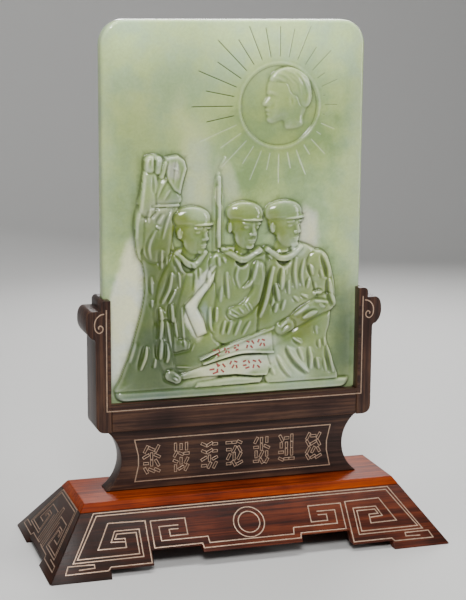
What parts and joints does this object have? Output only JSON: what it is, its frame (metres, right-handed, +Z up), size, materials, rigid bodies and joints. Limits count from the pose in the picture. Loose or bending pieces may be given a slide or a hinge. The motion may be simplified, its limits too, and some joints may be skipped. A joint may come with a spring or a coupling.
{
  "type": "stone table screen",
  "caption": "Table screen: a green stone slab with a carved relief, standing in a hardwood holder with scrolled ears over a waisted board and a hollow flared base.",
  "frame": {"origin": "on the table, under the middle of the base", "axes": "+Z up; +X to the right along the width, seen from the carved side; the carved face looks to -Y"},
  "size_m": [0.25, 0.11, 0.3176],
  "materials": {
    "nephrite": "polished",
    "dark_rosewood": "satin",
    "red_rosewood": "satin",
    "silver_wire": "satin",
    "red_pigment": "matte"
  },
  "bodies": {
    "root": {"jade_panel": "nephrite", "left_post": "dark_rosewood", "right_post": "dark_rosewood", "lower_rail": "dark_rosewood", "waist_board": "dark_rosewood", "base_top_board": "red_rosewood", "base_front_board": "dark_rosewood", "base_back_board": "dark_rosewood", "base_left_board": "dark_rosewood", "base_right_board": "dark_rosewood"}
  },
  "joints": []
}
